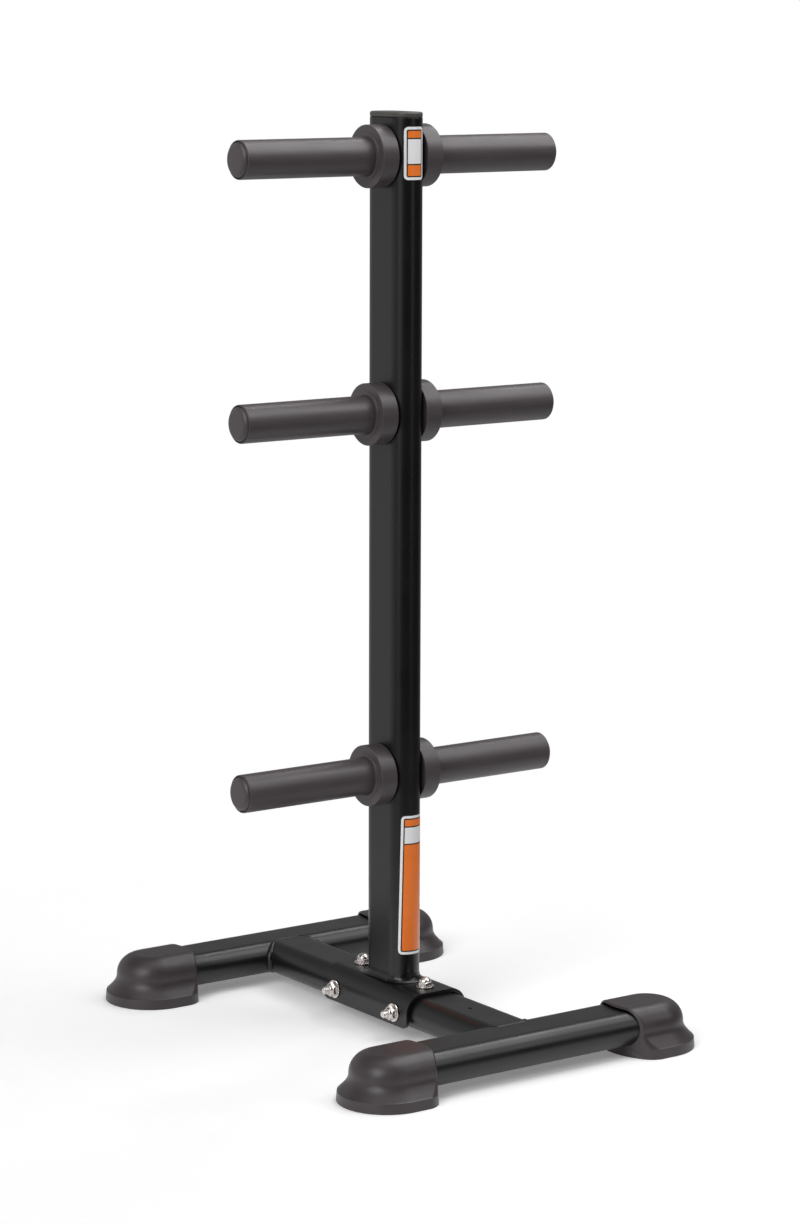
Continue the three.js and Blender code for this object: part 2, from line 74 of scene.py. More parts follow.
# Post foot weld and post cap
foot_weld_wide = 6.5
foot_weld_tall = 11
foot_weld_ripple = 0.9
foot_weld_pitch = 4.5
foot_weld_still_share = 0.02  # of its height, left smooth at its foot and at its top
cap_edge = 2.5
cap_foot_edge = 1.2
post_top_edge = 0.8
cap_skirt_wall = 2.5

# Saddle
saddle_plate = 5
saddle_bend = 25  # outside radius
saddle_corner = 10
saddle_edge = 0.8
sharp_degrees = 50  # an edge sharper than this is softened
bolt_hole = 11

# Welds between the stretcher and the cross tubes
bead_radius = 5
bead_top_sink = 4.2
bead_step = 1.2  # along the weld
bead_pitch = 5
bead_ripple_share = 0.05
vent_diameter = 5
vent_place = 106  # from the front cross tube's centreline

# Boots
boot_wall = 5
boot_axis_inset = 12.1  # from the cross tube's end back to the axis of the boot's round end
nose_radius = 90  # of the arc of the boot's inner end, seen from above
nose_lean = 4  # how much further the inner end reaches at the floor than at the top
sole_edge = 0.8
skirt_proud = 15.2
skirt_draft = 1
skirt_tall = 13.3
ledge_wide = 1.6
ledge_tall = 0.7
ledge_edge = 0.6
flare_foot_share = 0.31  # of the flare's height, up which it keeps the slope of its foot
flare_slope_share = 0.48  # of the flare's width, over which it keeps that slope
flare_top_share = 0.44  # of the flare's height, down which its top stays upright
skirt_corner = 11
body_corner = 2.5
mouth_lift = 2.2  # how far the boot's mouth stands clear of the tube's flat top
mouth_depth = 12

# Pegs
collar_edge = 1.2
collar_lip_wide = 5
collar_lip_edge = 1
collar_lip_foot_edge = 0.6
collar_mouth_edge = 0.3
sleeve_edge = 1.6
sleeve_lip = 1.45
sleeve_lip_edge = 0.2
plug_edge = 6.5
plug_crown = 0.5
plug_groove = 0.9  # between the plug's rim and the sleeve's lip
plug_wall = 2.5
plug_stem = 18

# Fasteners
bolt_radius = 5
bolt_tip_edge = 0.9
thread_long = 15
thread_pitch = 1.5
thread_depth = 0.75
thread_crest = 0.16
thread_gap = 0.1  # between one turn's foot and the next
thread_sink = 0.05  # of the ridge's foot in the bolt
thread_start_edge = 0.5
thread_end_inset = 0.6  # from the bolt's tip
head_across = 17
head_tall = 6.4
head_chamfer_tall = 1.65
nut_hex_tall = 6
nut_crown_tall = 3
nut_crown_foot = 15.6
nut_crown_top = 13.4
nut_crown_edge = 1
cap_nut_across = 17
cap_nut_hex_tall = 5
cap_nut_dome = 16.4
washer_edge = 0.4
washer_bore_edge = 0.2
hex_sides = 6
hex_chamfer_wide = 1.1  # how far past the corners the turned chamfer would reach
hex_chamfer_tall = 2.2
hex_chamfer_inset = 0.3  # from the flats in to the end face's round edge

# Decals on the post's front, blank but for bands of colour. Each has the middle of its width, measured
# round the post from its front line, its width, its foot and top, its lean in degrees, and its white
# panel's height.
decal_corner = 5.5
decal_border = 3.4
decal_line = 1.7
decal_head = 9.5  # the orange band over the white panel
decal_rise = 0.1  # off the paint
decal_film = 0.15
decal_column = 1
decals = {
    "upper_decal": (0, 31, 1106.5, 1173, 0, 32.5),
    "lower_decal": (2, 40, 100.3, 285.6, 1.2, 23),
}
WHITE, DARK, ORANGE = range(3)

# Studio floor, solid under the stand and fading out to its rim
floor_radius = 1000
floor_solid = 430
floor_glow = 0.2

# The room's glow, low down behind the stand and stronger on the left, with a lit floor far below. Each pair
# gives the values of a direction's Y, Z or X between which the glow fades.
glow_behind = (-0.25, 0.35)
glow_low = (0.35, 0.8)
glow_left = (-0.2, 0.4)
glow_right_share = 0.45  # of the glow that is left on the right
glow_floor = (-0.6, -0.35)
room_dim = 0.04
room_bright = 0.6
backdrop_white = 1.0

# Softboxes far off: where each one is, how wide it looks in degrees, and its strength
softboxes = {
    "back_right": ((0.57, 0.32, 0.755), 14, 0.3),
    "front_right": ((0.57, -0.59, 0.57), 25, 0.3),
    "upper_left": ((-0.76, -0.34, 0.59), 34, 1.3),
    "left": ((-0.92, -0.35, 0.1), 30, 0.25),
    "front_low": ((0.3, -0.94, 0.03), 10, 0.07),
}

# Round softboxes that hang so near that they light the upper pegs more than the base: the place of each, its
# width and its power in watts
near_softboxes = {
    "key": ((1370, -640, 2950), 2200, 39),
    "overhead": ((-200, -400, 3050), 3000, 24),
}
near_aim = (0, 0, 700)

# How finely round shapes are divided
turn_steps = 72
oval_half_steps = 36
flat_steps = 12
edge_steps = 4
soft_edge_steps = 2
corner_steps = 8
bend_steps = 16
flare_steps = 20
dome_steps = 12
bead_sides = 12
boot_end_steps = 56
boot_corner_steps = 5
thread_steps = 24
floor_sides = 96
merge_distance = 0.002
crease_degrees = 32

oval_straight = (tube_wide - tube_thick) / 2
oval_radius = tube_thick / 2

UP = Vector((0, 0, 1))
SIDES = (("left", -1), ("right", 1))
ENDS = ("front", "back")
LEVELS = ("lower", "middle", "upper")


def box(node):
    """The lowest and highest corners of a CAD node, in millimetres."""
    low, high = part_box(node)
    return low * METRE, high * METRE


# Camera, made first


def camera_axes():
    """The camera's right, up and backward directions."""
    turn = Matrix.Rotation(camera_azimuth, 3, "Z")
    pitch = Matrix.Rotation(-camera_pitch, 3, "X")
    roll = Matrix.Rotation(-camera_roll, 3, "Y")
    axes = turn @ pitch @ roll
    return axes.col[0], axes.col[2], -axes.col[1]


def make_camera():
    """The camera from which the stand is seen as in the photograph."""
    right, up, back = camera_axes()
    level_right = Matrix.Rotation(camera_azimuth, 3, "Z").col[0]
    place = UP * camera_aim_height + level_right * camera_aim_side + back * camera_distance
    data = bpy.data.cameras.new("photo_camera")
    data.lens = camera_lens
    data.sensor_width = camera_sensor
    data.clip_start = camera_near
    data.clip_end = camera_far
    camera = bpy.data.objects.new("photo_camera", data)
    bpy.context.scene.collection.objects.link(camera)
    turned_axes = Matrix((right, up, back)).transposed().to_4x4()
    camera.matrix_world = Matrix.Translation(place / METRE) @ turned_axes
    bpy.context.scene.camera = camera


make_camera()


# Materials


def linear(hex_colour):
    """An sRGB hex colour as the linear values that a shader takes."""
    parts = [int(hex_colour[i : i + 2], 16) / 255 for i in (1, 3, 5)]
    return (*(c / 12.92 if c <= 0.04045 else ((c + 0.055) / 1.055) ** 2.4 for c in parts), 1)


def add_node(tree, kind, settings=None, values=None, links=None):
    """Adds a node with its settings and socket values, and links its inputs."""
    made = tree.nodes.new(kind)
    for name, value in (settings or {}).items():
        setattr(made, name, value)
    for socket, value in (values or {}).items():
        made.inputs[socket].default_value = value
    for socket, source in (links or {}).items():
        tree.links.new(source, made.inputs[socket])
    return made


def new_material(name):
    """An empty node material, and its tree."""
    material = bpy.data.materials.new(name)
    material.use_nodes = True
    material.node_tree.nodes.clear()
    return material, material.node_tree


# The Mix node's sockets for colours, by their numbers, because their names repeat
MIX_COLOURS = (6, 7)
MIX_RESULT = 2


def drawn_out(tree, place, share):
    """Coordinates in which a pattern's grains are only this share as wide as they are long, along X."""
    values = {"Scale": (share, 1, 1)}
    return add_node(tree, "ShaderNodeMapping", values=values, links={"Vector": place}).outputs["Vector"]


def grain_noise(tree, place, grain, detail=2.0, roughness=0.5):
    """Noise whose features are so many millimetres wide."""
    values = {"Scale": METRE / grain, "Detail": detail, "Roughness": roughness}
    return add_node(tree, "ShaderNodeTexNoise", values=values, links={"Vector": place})


def ranged(tree, source, low, high, from_low=0.3, from_high=0.7):
    """A pattern's values moved into a range. Most of a noise's values lie between 0.3 and 0.7."""
    values = {"From Min": from_low, "From Max": from_high, "To Min": low, "To Max": high}
    return add_node(tree, "ShaderNodeMapRange", values=values, links={"Value": source}).outputs["Result"]


def blended(tree, factor, first, second):
    """Two colours, each a hex value or another node's output, mixed by a pattern."""
    mix = add_node(tree, "ShaderNodeMix", {"data_type": "RGBA"}, links={0: factor})
    for socket, colour in zip(MIX_COLOURS, (first, second)):
        if isinstance(colour, str):
            mix.inputs[socket].default_value = linear(colour)
        else:
            tree.links.new(colour, mix.inputs[socket])
    return mix.outputs[MIX_RESULT]


def product(tree, first, second):
    """Two patterns multiplied."""
    links = {0: first, 1: second}
    return add_node(tree, "ShaderNodeMath", {"operation": "MULTIPLY"}, links=links).outputs["Value"]


def bumped(tree, height, depth):
    """A bump whose full height is so many millimetres."""
    values = {"Strength": 1.0, "Distance": depth / METRE}
    return add_node(tree, "ShaderNodeBump", values=values, links={"Height": height}).outputs["Normal"]


def inked(tree, ink, number):
    """1 on the faces whose ink has this number or a higher one, and 0 on the others."""
    return ranged(tree, ink, 0, 1, number - 0.6, number - 0.4)


def surfaced(tree, values, colour, rough, normal):
    """The shader, with the values that are the same all over, and the output."""
    links = {"Base Color": colour, "Roughness": rough, "Normal": normal}
    shader = add_node(tree, "ShaderNodeBsdfPrincipled", values=values, links=links)
    add_node(tree, "ShaderNodeOutputMaterial", links={"Surface": shader.outputs["BSDF"]})


def powder_coat():
    """Black powder coat, sprayed and baked: a fine orange peel breaks up its semi-gloss reflections."""
    material, tree = new_material("black_powder_coat")
    place = add_node(tree, "ShaderNodeTexCoord").outputs["Object"]
    peel = grain_noise(tree, place, grain=2.2, detail=1.5)
    cloud = grain_noise(tree, place, grain=55, detail=3)
    normal = bumped(tree, peel.outputs["Fac"], depth=0.02)
    colour = blended(tree, cloud.outputs["Fac"], "#08080a", "#0d0d0e")
    rough = ranged(tree, cloud.outputs["Fac"], 0.3, 0.36)
    surfaced(tree, {"IOR": 1.5}, colour, rough, normal)
    return material


def moulded_nylon():
    """Moulded nylon with a spark-eroded skin: matte, with faint flow marks and small rubbed places. The
    skin's grain is drawn coarser than it is, to show."""
    material, tree = new_material("moulded_nylon")
    place = add_node(tree, "ShaderNodeTexCoord").outputs["Object"]
    skin = grain_noise(tree, place, grain=1.4)
    flow = grain_noise(tree, drawn_out(tree, place, 0.12), grain=9, detail=3)
    normal = bumped(tree, skin.outputs["Fac"], depth=0.03)
    colour = blended(tree, flow.outputs["Fac"], "#433c3e", "#4d4648")
    rough = ranged(tree, flow.outputs["Fac"], 0.38, 0.48)
    surfaced(tree, {"IOR": 1.53}, colour, rough, normal)
    return material


def moulded_rubber():
    """Moulded rubber: a soft sheen over an even skin, with a little bloom that lightens it in clouds. The
    skin's grain is drawn coarser than it is, to show."""
    material, tree = new_material("moulded_rubber")
    place = add_node(tree, "ShaderNodeTexCoord").outputs["Object"]
    skin = grain_noise(tree, place, grain=1.6)
    bloom = grain_noise(tree, place, grain=28, detail=3)
    normal = bumped(tree, skin.outputs["Fac"], depth=0.03)
    colour = blended(tree, bloom.outputs["Fac"], "#322c2e", "#3d3638")
    rough = ranged(tree, bloom.outputs["Fac"], 0.36, 0.46)
    surfaced(tree, {"IOR": 1.52}, colour, rough, normal)
    return material


def moulded_polyethylene():
    """Moulded polyethylene: waxy, a shade lighter than the paint under it. Its skin's grain is drawn coarser
    than it is, to show."""
    material, tree = new_material("moulded_polyethylene")
    place = add_node(tree, "ShaderNodeTexCoord").outputs["Object"]
    skin = grain_noise(tree, place, grain=1.8)
    cloud = grain_noise(tree, place, grain=20)
    normal = bumped(tree, skin.outputs["Fac"], depth=0.03)
    colour = blended(tree, cloud.outputs["Fac"], "#464340", "#4f4c49")
    rough = ranged(tree, cloud.outputs["Fac"], 0.42, 0.5)
    surfaced(tree, {"IOR": 1.51}, colour, rough, normal)
    return material


def bright_zinc():
    """Bright zinc plate over turned and pressed steel: nearly a mirror, with fine tool marks, drawn coarser
    than they are, and dull specks."""
    material, tree = new_material("bright_zinc_plate")
    place = add_node(tree, "ShaderNodeTexCoord").outputs["Object"]
    marks = grain_noise(tree, place, grain=1.1, detail=3, roughness=0.6)
    specks = grain_noise(tree, place, grain=3.5, detail=3)
    normal = bumped(tree, marks.outputs["Fac"], depth=0.004)
    colour = blended(tree, specks.outputs["Fac"], "#d3cbc7", "#ece7e4")
    rough = ranged(tree, specks.outputs["Fac"], 0.22, 0.32)
    surfaced(tree, {"Metallic": 1.0}, colour, rough, normal)
    return material


def drawn_steel():
    """Drawn steel tube: grey, with long lines along its length, drawn coarser than they are."""
    material, tree = new_material("drawn_steel")
    place = add_node(tree, "ShaderNodeTexCoord").outputs["Object"]
    lines = grain_noise(tree, drawn_out(tree, place, 0.02), grain=0.8, detail=3)
    normal = bumped(tree, lines.outputs["Fac"], depth=0.02)
    colour = blended(tree, lines.outputs["Fac"], "#85878a", "#9b9da0")
    rough = ranged(tree, lines.outputs["Fac"], 0.35, 0.5)
    surfaced(tree, {"Metallic": 1.0}, colour, rough, normal)
    return material


def printed_film():
    """Vinyl film, screen printed and laminated: crisp flat inks under an even gloss. The ink of each face
    is in the mesh."""
    material, tree = new_material("printed_vinyl_film")
    place = add_node(tree, "ShaderNodeTexCoord").outputs["Object"]
    fade = grain_noise(tree, place, grain=14)
    skin = grain_noise(tree, place, grain=3, detail=1)
    ink = add_node(tree, "ShaderNodeAttribute", {"attribute_name": "ink"}).outputs["Fac"]
    white = blended(tree, fade.outputs["Fac"], "#f8f8fb", "#fdfdfd")
    orange = blended(tree, fade.outputs["Fac"], "#fb7a26", "#ff8834")
    lined = blended(tree, inked(tree, ink, DARK), white, "#2a2220")
    colour = blended(tree, inked(tree, ink, ORANGE), lined, orange)
    normal = bumped(tree, skin.outputs["Fac"], depth=0.004)
    rough = ranged(tree, fade.outputs["Fac"], 0.3, 0.38)
    surfaced(tree, {"IOR": 1.53}, colour, rough, normal)
    return material


finishes = {
    "label_film": printed_film(),
    "frame_paint": powder_coat(),
    "peg_plastic": moulded_nylon(),
    "boot_rubber": moulded_rubber(),
    "cap_plastic": moulded_polyethylene(),
    "bright_zinc": bright_zinc(),
    "horn_steel": drawn_steel(),
}


# Ways of shaping


def verts_in(geometry):
    return [part for part in geometry if isinstance(part, bmesh.types.BMVert)]


def edges_in(geometry):
    return [part for part in geometry if isinstance(part, bmesh.types.BMEdge)]


def outline(corners, is_closed=False, steps=edge_steps):
    """A chain of edges through corners of (across, up, rounding), in the XZ plane."""
    shape = bmesh.new()
    points = [shape.verts.new((across, 0, up)) for across, up, _ in corners]
    pairs = list(zip(points, points[1:] + points[:1]))
    for first, second in pairs if is_closed else pairs[:-1]:
        shape.edges.new((first, second))
    for point, (_, _, rounding) in zip(points, corners):
        if rounding:
            bmesh.ops.bevel(
                shape, geom=[point], offset=rounding, offset_type="OFFSET", segments=steps,
                profile=0.5, affect="VERTICES", material=-1)
    return shape


def made_whole(shape):
    """Merges what lies together, and turns the faces outwards."""
    bmesh.ops.remove_doubles(shape, verts=shape.verts, dist=merge_distance)
    bmesh.ops.dissolve_degenerate(shape, dist=merge_distance / 2, edges=shape.edges)
    bmesh.ops.recalc_face_normals(shape, faces=shape.faces)
    return shape


def turned(profile, steps=turn_steps):
    """A profile carried once round the Z axis."""
    whole = profile.verts[:] + profile.edges[:]
    bmesh.ops.spin(
        profile, geom=whole, cent=(0, 0, 0), axis=UP, angle=math.tau, steps=steps, use_merge=True)
    return made_whole(profile)


def extruded(shape, edges, move, steps=1):
    """Edges drawn out along a line, and the verts and edges at its far end."""
    for _ in range(steps):
        far = bmesh.ops.extrude_edge_only(shape, edges=edges)["geom"]
        far_verts = verts_in(far)
        bmesh.ops.translate(shape, vec=Vector(move) / steps, verts=far_verts)
        inside = set(far_verts)
        edges = [edge for edge in edges_in(far) if inside.issuperset(edge.verts)]
    return far_verts + edges


def carried_round_oval(profile, steps=1):
    """A profile carried round the tube stock's outline: a half turn, a flat side, and both again. The
    outline's long side lies along Y."""
    bmesh.ops.translate(profile, vec=(0, -oval_straight, 0), verts=profile.verts)
    last = profile.verts[:] + profile.edges[:]
    for end in (-1, 1):
        centre = (0, end * oval_straight, 0)
        last = bmesh.ops.spin(
            profile, geom=last, cent=centre, axis=UP, angle=-math.pi, steps=oval_half_steps)["geom_last"]
        last = extruded(profile, edges_in(last), (0, -2 * end * oval_straight, 0), steps)
    return made_whole(profile)


def combined(base, tool, operation):
    """Two shapes cut, joined or crossed."""
    pair = []
    for shape in (base, tool):
        mesh = bpy.data.meshes.new("shape")
        shape.to_mesh(mesh)
        shape.free()
        pair.append(bpy.data.objects.new("shape", mesh))
        bpy.context.scene.collection.objects.link(pair[-1])
    cut = pair[0].modifiers.new("cut", "BOOLEAN")
    cut.operation = operation
    cut.object = pair[1]
    result = bmesh.new()
    result.from_object(pair[0], bpy.context.evaluated_depsgraph_get())
    for part in pair:
        mesh = part.data
        bpy.data.objects.remove(part)
        bpy.data.meshes.remove(mesh)
    return result


def rod(radius, foot, top, sides=turn_steps):
    """A plain round bar along Z, for cutting with."""
    return turned(outline([(0, foot, 0), (radius, foot, 0), (radius, top, 0), (0, top, 0)]), sides)


def moved(shape, turn=None, place=(0, 0, 0)):
    """A shape turned about the origin by a matrix, then moved."""
    if turn:
        bmesh.ops.transform(shape, matrix=turn.to_4x4(), verts=shape.verts)
    bmesh.ops.translate(shape, vec=Vector(place), verts=shape.verts)
    return shape


def pointed(direction):
    """The turn that points a shape's +Z along a direction."""
    return UP.rotation_difference(Vector(direction)).to_matrix()


# The tube stock runs along Z with its long side along Y until one of these lays it flat
ALONG_Y = Matrix(((0, 1, 0), (0, 0, 1), (1, 0, 0)))
ALONG_X = Matrix(((0, 0, 1), (0, 1, 0), (-1, 0, 0)))


def added(shape, other):
    """One shape with another beside it, as separate shells."""
    mesh = bpy.data.meshes.new("shape")
    other.to_mesh(mesh)
    other.free()
    shape.from_mesh(mesh)
    bpy.data.meshes.remove(mesh)
    return shape


def cut_flat(shape, place, normal, is_trimmed=False):
    """New edges where a plane crosses a shape, which may lose what lies past the plane."""
    whole = shape.verts[:] + shape.edges[:] + shape.faces[:]
    bmesh.ops.bisect_plane(shape, geom=whole, plane_co=place, plane_no=normal, clear_outer=is_trimmed)


def softened(shape, width):
    """Every sharp edge rounded a little."""
    least = math.radians(sharp_degrees)
    sharp = [edge for edge in shape.edges if edge.is_manifold and edge.calc_face_angle() > least]
    bmesh.ops.bevel(
        shape, geom=sharp, offset=width, offset_type="OFFSET", segments=soft_edge_steps, profile=0.5,
        affect="EDGES", material=-1, clamp_overlap=True)
    return shape


def finished(name, shape, slot, *nodes):
    """A shape in millimetres made into a piece that stands for CAD nodes and takes a slot's finish."""
    bmesh.ops.scale(shape, vec=(1 / METRE,) * 3, verts=shape.verts)
    mesh = bpy.data.meshes.new(name)
    shape.to_mesh(mesh)
    shape.free()
    mesh.shade_smooth()
    mesh.set_sharp_from_angle(angle=math.radians(crease_degrees))
    mesh.materials.append(finishes[slot])
    piece = bpy.data.objects.new(name, mesh)
    bpy.context.scene.collection.objects.link(piece)
    weighted = piece.modifiers.new("even_shading", "WEIGHTED_NORMAL")
    weighted.keep_sharp = True
    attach(piece, "root")
    if nodes:
        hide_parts(*nodes)
    return piece


# Post, its foot weld and its cap


def post_tube():
    """The upright, drilled for the three horn tubes."""
    low, high = box("post_tube")
    corners = [
        (oval_radius - tube_wall, low.z, 0),
        (oval_radius, low.z, 0),
        (oval_radius, high.z, post_top_edge),
        (oval_radius - tube_wall, high.z, 0),
    ]
    tube = carried_round_oval(outline(corners, is_closed=True))
    for level in LEVELS:
        horn_low, horn_high = box(f"{level}_horn_tube")
        middle = (horn_low.z + horn_high.z) / 2
        radius = (horn_high.z - horn_low.z) / 2 + seat_gap
        for side in (-1, 1):
            cut_flat(tube, (0, 0, middle + side * (radius + tube_wall)), UP)
        hole = moved(rod(radius, -tube_thick, tube_thick), pointed((1, 0, 0)), (0, 0, middle))
        tube = combined(tube, hole, "DIFFERENCE")
    return tube


def foot_weld():
    """A hollow fillet all round the post's foot, with the low ripples of a weld under the paint."""
    low, _ = box("post_tube")
    corners = [(oval_radius - tube_wall / 2, low.z, 0)]
    for step in range(corner_steps + 1):
        angle = math.pi / 2 * step / corner_steps
        across = oval_radius + foot_weld_wide * (1 - math.sin(angle))
        corners.append((across, low.z + foot_weld_tall * (1 - math.cos(angle)), 0))
    corners.append((oval_radius - tube_wall / 2, low.z + foot_weld_tall, 0))
    weld = carried_round_oval(outline(corners, is_closed=True), flat_steps)
    for vert in weld.verts:
        height_share = (vert.co.z - low.z) / foot_weld_tall
        wave = noise.noise(Vector((vert.co.x, vert.co.y, 2 * vert.co.z)) / foot_weld_pitch)
        centre = Vector((0, max(-oval_straight, min(oval_straight, vert.co.y)), vert.co.z))
        outwards = vert.co - centre
        is_inside = foot_weld_still_share < height_share < 1 - foot_weld_still_share
        if is_inside and outwards.length > oval_radius - tube_wall / 4:
            vert.co += outwards.normalized() * wave * foot_weld_ripple
    return weld


def post_cap():
    """The flange on the post's top, with a rounded edge, over a skirt inside the tube."""
    low, high = box("post_cap")
    flange = box("post_tube")[1].z + seat_gap
    skirt = oval_radius - tube_wall - seat_gap
    corners = [
        (0, flange, 0),
        (skirt - cap_skirt_wall, flange, 0),
        (skirt - cap_skirt_wall, low.z, 0),
        (skirt, low.z, hidden_edge),
        (skirt, flange, 0),
        (oval_radius, flange, cap_foot_edge),
        (oval_radius, high.z, cap_edge),
        (0, high.z, 0),
    ]
    return carried_round_oval(outline(corners, steps=corner_steps))


def decal_sheet(wide, tall, panel):
    """A flat sheet with its border and line inset, cut where its colours change, that knows the ink of each
    face."""
    half = wide / 2
    corners = [(-half, 0, decal_corner), (half, 0, decal_corner), (half, tall, decal_corner)]
    corners.append((-half, tall, decal_corner))
    sheet = outline(corners, is_closed=True)
    bmesh.ops.contextual_create(sheet, geom=sheet.edges[:])
    ink = sheet.faces.layers.float.new("ink")
    sheet.faces.ensure_lookup_table()
    field = sheet.faces[0]
    field[ink] = ORANGE
    for width, colour in ((decal_border, WHITE), (decal_line, DARK)):
        ring = bmesh.ops.inset_individual(sheet, faces=[field], thickness=width, use_even_offset=True)
        for face in ring["faces"]:
            face[ink] = colour
    panel_top = tall - decal_border - decal_line - decal_head
    lines = (panel_top, panel_top - panel)
    for height in [line + side * decal_line / 2 for line in lines for side in (-1, 1)]:
        cut_flat(sheet, (0, 0, height), UP)
    for face in sheet.faces:
        height = face.calc_center_median().z
        if face[ink] == ORANGE and panel_top - panel < height < panel_top:
            face[ink] = WHITE
        is_on_line = min(abs(height - line) for line in lines) < decal_line / 2
        if is_on_line and abs(face.calc_center_median().x) < half - decal_border:
            face[ink] = DARK
    return sheet


def decal(middle, wide, foot, top, lean, panel):
    """A decal bent round the post's front."""
    tall = top - foot
    sheet = decal_sheet(wide, tall, panel)
    for column in range(1, round(wide / decal_column)):
        cut_flat(sheet, (column * decal_column - wide / 2, 0, 0), (1, 0, 0))
    moved(sheet, place=(0, 0, -tall / 2))
    moved(sheet, Matrix.Rotation(math.radians(lean), 3, "Y"), (middle, 0, foot + tall / 2))
    radius = oval_radius + decal_rise + decal_film
    for vert in sheet.verts:
        angle = vert.co.x / radius
        vert.co = (radius * math.sin(angle), -oval_straight - radius * math.cos(angle), vert.co.z)
    bmesh.ops.recalc_face_normals(sheet, faces=sheet.faces)
    sheet.faces.ensure_lookup_table()
    if sheet.faces[0].normal.y > 0:
        bmesh.ops.reverse_faces(sheet, faces=sheet.faces)
    bmesh.ops.solidify(sheet, geom=sheet.faces[:], thickness=decal_film)
    return made_whole(sheet)


def make_post():
    """The upright with its weld, its cap and its two decals."""
    post = added(post_tube(), foot_weld())
    finished("post_tube_finished", post, "frame_paint", "post_tube")
    finished("post_cap_finished", post_cap(), "cap_plastic", "post_cap")
    for name, sizes in decals.items():
        finished(name, decal(*sizes), "label_film")


# Base tubes


def base_height():
    """The height of the axes of the tubes in the base."""
    low, high = box("front_cross_tube")
    return (low.z + high.z) / 2


def cross_tube(node):
    """A flat-oval tube laid flat along X."""
    low, high = box(node)
    half = (high.x - low.x) / 2
    corners = [
        (oval_radius - tube_wall, -half, hidden_edge),
        (oval_radius, -half, hidden_edge),
        (oval_radius, half, hidden_edge),
        (oval_radius - tube_wall, half, hidden_edge),
    ]
    tube = carried_round_oval(outline(corners, is_closed=True, steps=1))
    return moved(tube, ALONG_X, (low + high) / 2)


def stretcher_sheet():
    """The stretcher's outside, cut to the mitres that meet the cross tubes' round sides."""
    flat_end = cross_tube_spacing / 2 - oval_straight - seat_gap
    wall = carried_round_oval(outline([(oval_radius, -flat_end, 0), (oval_radius, flat_end, 0)]))
    moved(wall, ALONG_Y)
    for end in (-1, 1):
        for side in (-1, 1):
            cut_flat(wall, (side * oval_straight, end * flat_end, 0), (side, end, 0), is_trimmed=True)
    return wall


def weld_path(wall, end):
    """The line round a stretcher end, in order, as points of equal spacing."""
    rim = {v for e in wall.edges if e.is_boundary for v in e.verts if v.co.y * end > 0}
    corners = [v.co.copy() for v in sorted(rim, key=lambda v: math.atan2(v.co.z, v.co.x))]
    points = []
    for start, stop in zip(corners, corners[1:] + corners[:1]):
        count = max(1, round((stop - start).length / bead_step))
        points += [start.lerp(stop, step / count) for step in range(count)]
    return points


def weld_bead(path):
    """A bead along a closed path, lower on the flats, with a ripple at every pass of the torch."""
    curve = bpy.data.curves.new("bead", "CURVE")
    curve.dimensions = "3D"
    curve.bevel_depth = bead_radius
    curve.bevel_resolution = bead_sides // 2
    spline = curve.splines.new("POLY")
    spline.points.add(len(path) - 1)
    spline.use_cyclic_u = True
    travelled = 0
    for point, place, after in zip(spline.points, path, path[1:] + path[:1]):
        rise = place.z / oval_radius
        sunk = place - UP * bead_top_sink * rise * abs(rise)
        point.co = (*sunk, 1)
        ripple = math.cos(math.tau * travelled / bead_pitch) + noise.noise(place / bead_pitch)
        point.radius = 1 + bead_ripple_share * ripple / 2
        travelled += (after - place).length
    holder = bpy.data.objects.new("bead", curve)
    bpy.context.scene.collection.objects.link(holder)
    bead = bmesh.new()
    mesh = holder.evaluated_get(bpy.context.evaluated_depsgraph_get()).to_mesh()
    bead.from_mesh(mesh)
    holder.to_mesh_clear()
    bpy.data.objects.remove(holder)
    bpy.data.curves.remove(curve)
    return made_whole(bead)


def stretcher():
    """The mitred tube with its vent hole, and the welds round its ends."""
    wall = stretcher_sheet()
    paths = [weld_path(wall, end) for end in (-1, 1)]
    bmesh.ops.solidify(wall, geom=wall.faces[:], thickness=tube_wall)
    made_whole(wall)
    vent = moved(rod(vent_diameter / 2, 0, tube_thick), place=(0, vent_place - cross_tube_spacing / 2, 0))
    tube = combined(wall, vent, "DIFFERENCE")
    for path in paths:
        added(tube, weld_bead(path))
    return moved(tube, place=(0, 0, base_height()))


def make_base_tubes():
    """The cross tubes and the stretcher."""
    for end in ENDS:
        node = f"{end}_cross_tube"
        finished(f"{node}_finished", cross_tube(node), "frame_paint", node)
    finished("stretcher_tube_finished", stretcher(), "frame_paint", "stretcher_tube")


# Saddle


def saddle():
    """A bent plate with rounded leg corners, softened along its edges."""
    low, high = box("saddle_bracket")
    corners = [
        (high.x, low.z, 0),
        (high.x, high.z, saddle_bend),
        (low.x, high.z, saddle_bend),
        (low.x, low.z, 0),
    ]
    plate = outline(corners, steps=bend_steps)
    bmesh.ops.translate(plate, vec=(0, low.y, 0), verts=plate.verts)
    extruded(plate, plate.edges[:], (0, high.y - low.y, 0))
    feet = [v for v in plate.verts if abs(v.co.z - low.z) < merge_distance]
    bmesh.ops.bevel(
        plate, geom=feet, offset=saddle_corner, offset_type="OFFSET", segments=corner_steps,
        profile=0.5, affect="VERTICES", material=-1)
    bmesh.ops.recalc_face_normals(plate, faces=plate.faces)
    top = max(plate.faces, key=lambda face: face.calc_center_median().z)
    if top.normal.z < 0:
        bmesh.ops.reverse_faces(plate, faces=plate.faces)
    bmesh.ops.solidify(plate, geom=plate.faces[:], thickness=saddle_plate)
    return softened(made_whole(plate), saddle_edge)


# Boots


